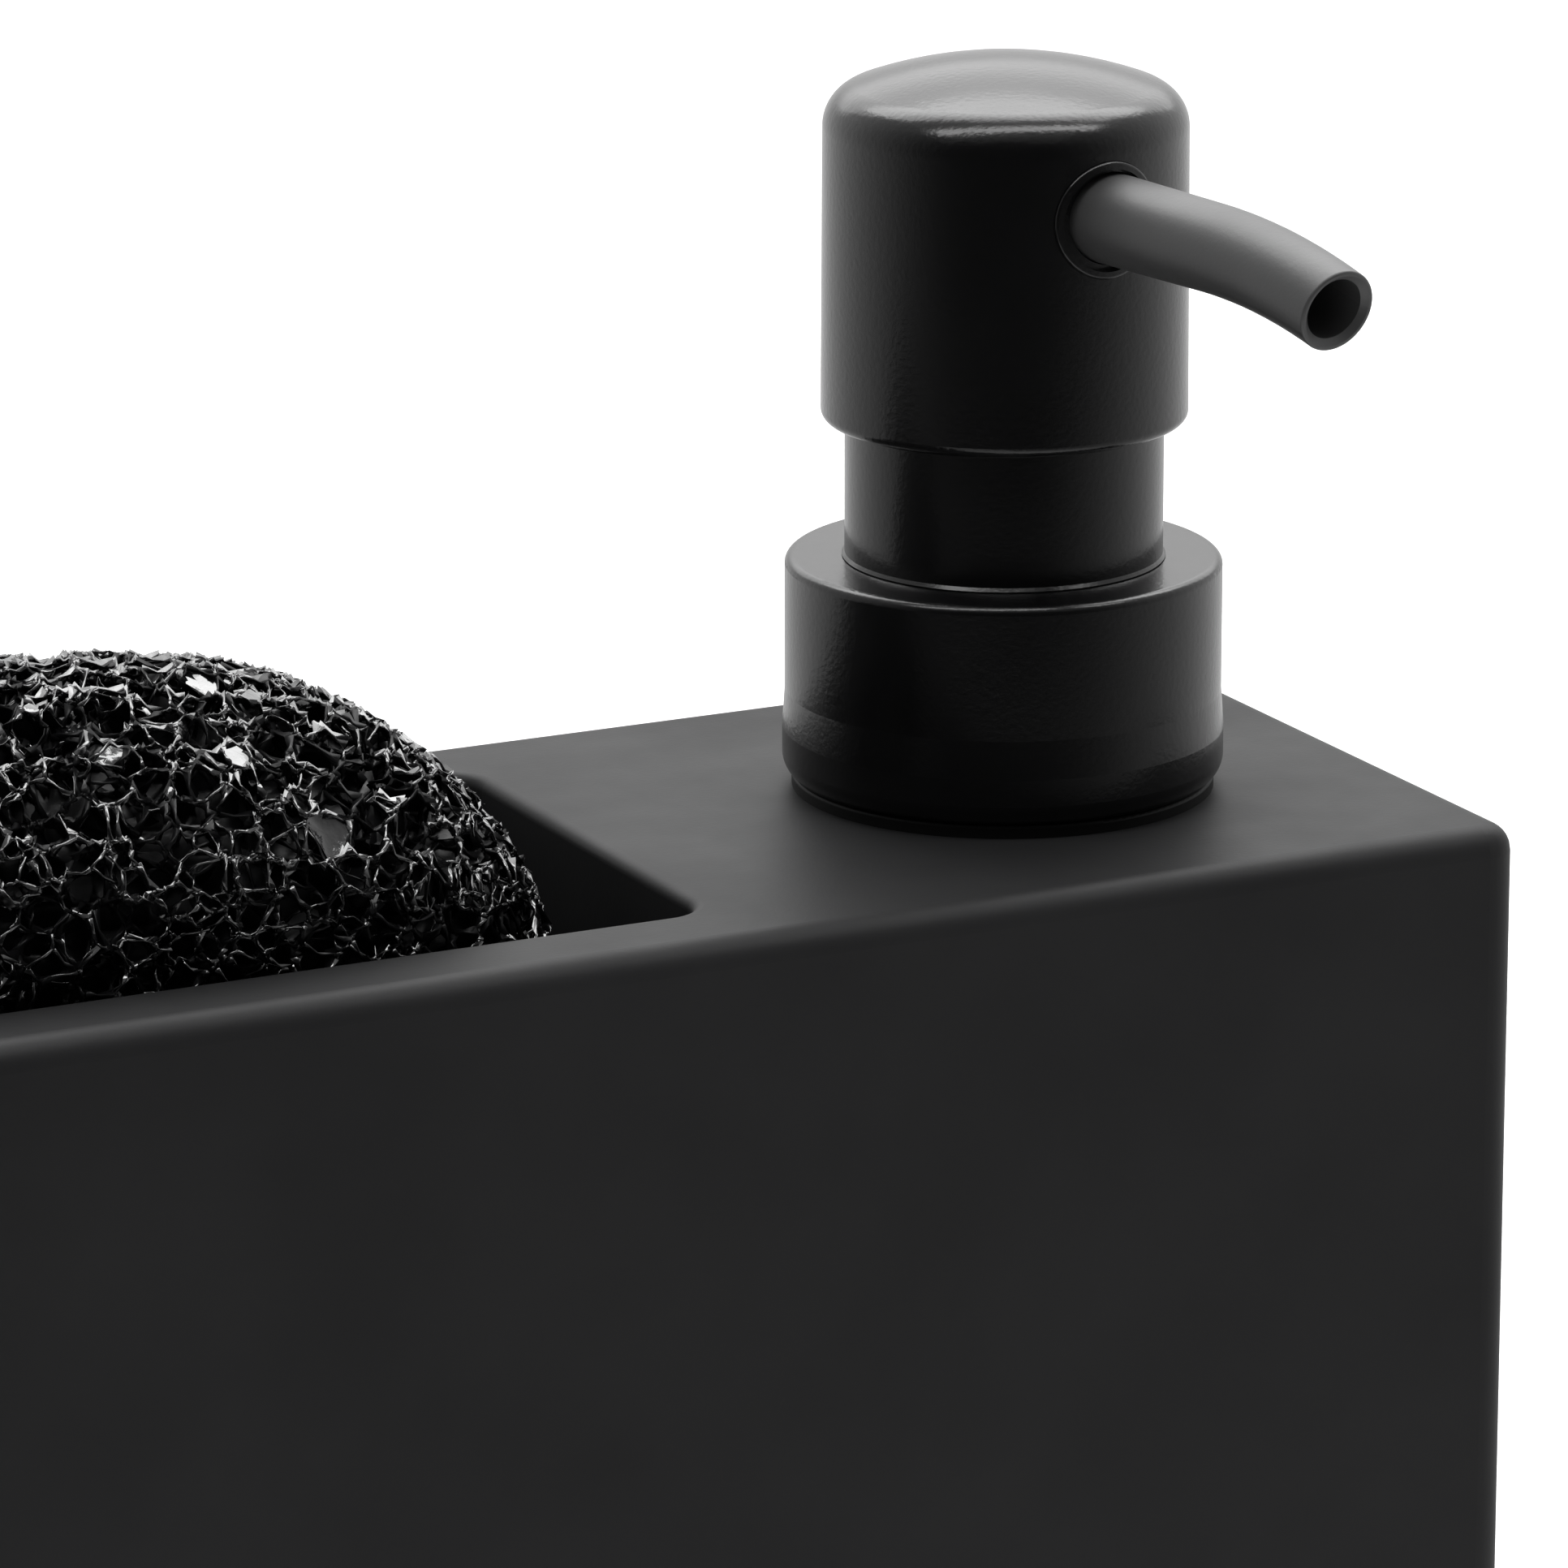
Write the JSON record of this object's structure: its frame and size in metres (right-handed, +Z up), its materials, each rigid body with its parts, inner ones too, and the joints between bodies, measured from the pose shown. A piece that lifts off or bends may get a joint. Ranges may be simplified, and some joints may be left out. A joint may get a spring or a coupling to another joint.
{
  "type": "soap pump caddy",
  "caption": "Countertop soap dispenser block with a screw-on push pump, a soap tank and an open well that holds a scouring sponge.",
  "frame": {"origin": "centre of the underside of the non-slip pad, on the surface that the caddy stands on", "axes": "+X along the block towards the pump end, -Y towards the front where the spout points, +Z up"},
  "size_m": [0.155, 0.0687, 0.1451],
  "materials": {
    "caddy_black": "matte",
    "pump_black": "satin",
    "spout_black": "satin",
    "plate_black": "satin",
    "pad_rubber": "matte",
    "neck_black": "satin",
    "inner_white": "satin",
    "piston_natural": "gloss",
    "gasket_white": "matte",
    "tube_clear": "gloss",
    "spring_steel": "satin",
    "ball_steel": "polished",
    "scourer_black": "gloss"
  },
  "bodies": {
    "caddy": {"caddy_body": "caddy_black", "base_plate": "plate_black", "base_pad": "pad_rubber", "neck_insert": "neck_black"},
    "pump_unit": {"neck_gasket": "gasket_white", "neck_sleeve": "pump_black", "stem_guide": "inner_white", "pump_housing": "inner_white", "dip_tube": "tube_clear", "return_spring": "spring_steel"},
    "collar_ring": {"collar": "pump_black"},
    "plunger": {"piston": "piston_natural"},
    "push_head": {"pump_stem": "inner_white", "piston_rod": "inner_white", "actuator_core": "inner_white", "head_cap": "pump_black", "spout": "spout_black", "spout_ring": "pump_black"},
    "inlet_ball": {"check_ball": "ball_steel"},
    "scourer_piece": {"scourer": "scourer_black"}
  },
  "joints": [
    {"name": "pump_rise", "type": "slide", "parent": "caddy", "child": "pump_unit", "axis": [0, 0, 1], "range_m": [0, 0.00634]},
    {"name": "collar_turn", "type": "hinge", "parent": "pump_unit", "child": "collar_ring", "pos_m": [0.049, 0, 0.1], "axis": [0, 0, 1], "range_deg": [0, 540]},
    {"name": "pump_press", "type": "slide", "parent": "pump_unit", "child": "plunger", "axis": [0, 0, -1], "range_m": [0, 0.0095], "stiffness_N_per_m": 1200, "springref_m": -0.008, "deforming": ["return_spring"]},
    {"name": "head_turn", "type": "hinge", "parent": "plunger", "child": "push_head", "pos_m": [0.049, 0, 0.13], "axis": [0, 0, 1], "continuous": true},
    {"name": "ball_lift", "type": "slide", "parent": "pump_unit", "child": "inlet_ball", "axis": [0, 0, 1], "range_m": [0, 0.0012]},
    {"name": "scourer_lift", "type": "slide", "parent": "caddy", "child": "scourer_piece", "axis": [0, 0, 1], "range_m": [0, 0.06]}
  ],
  "couplings": [
    {"joint": "collar_turn", "follows": "pump_rise", "rad_per_m": 1485.4}
  ]
}
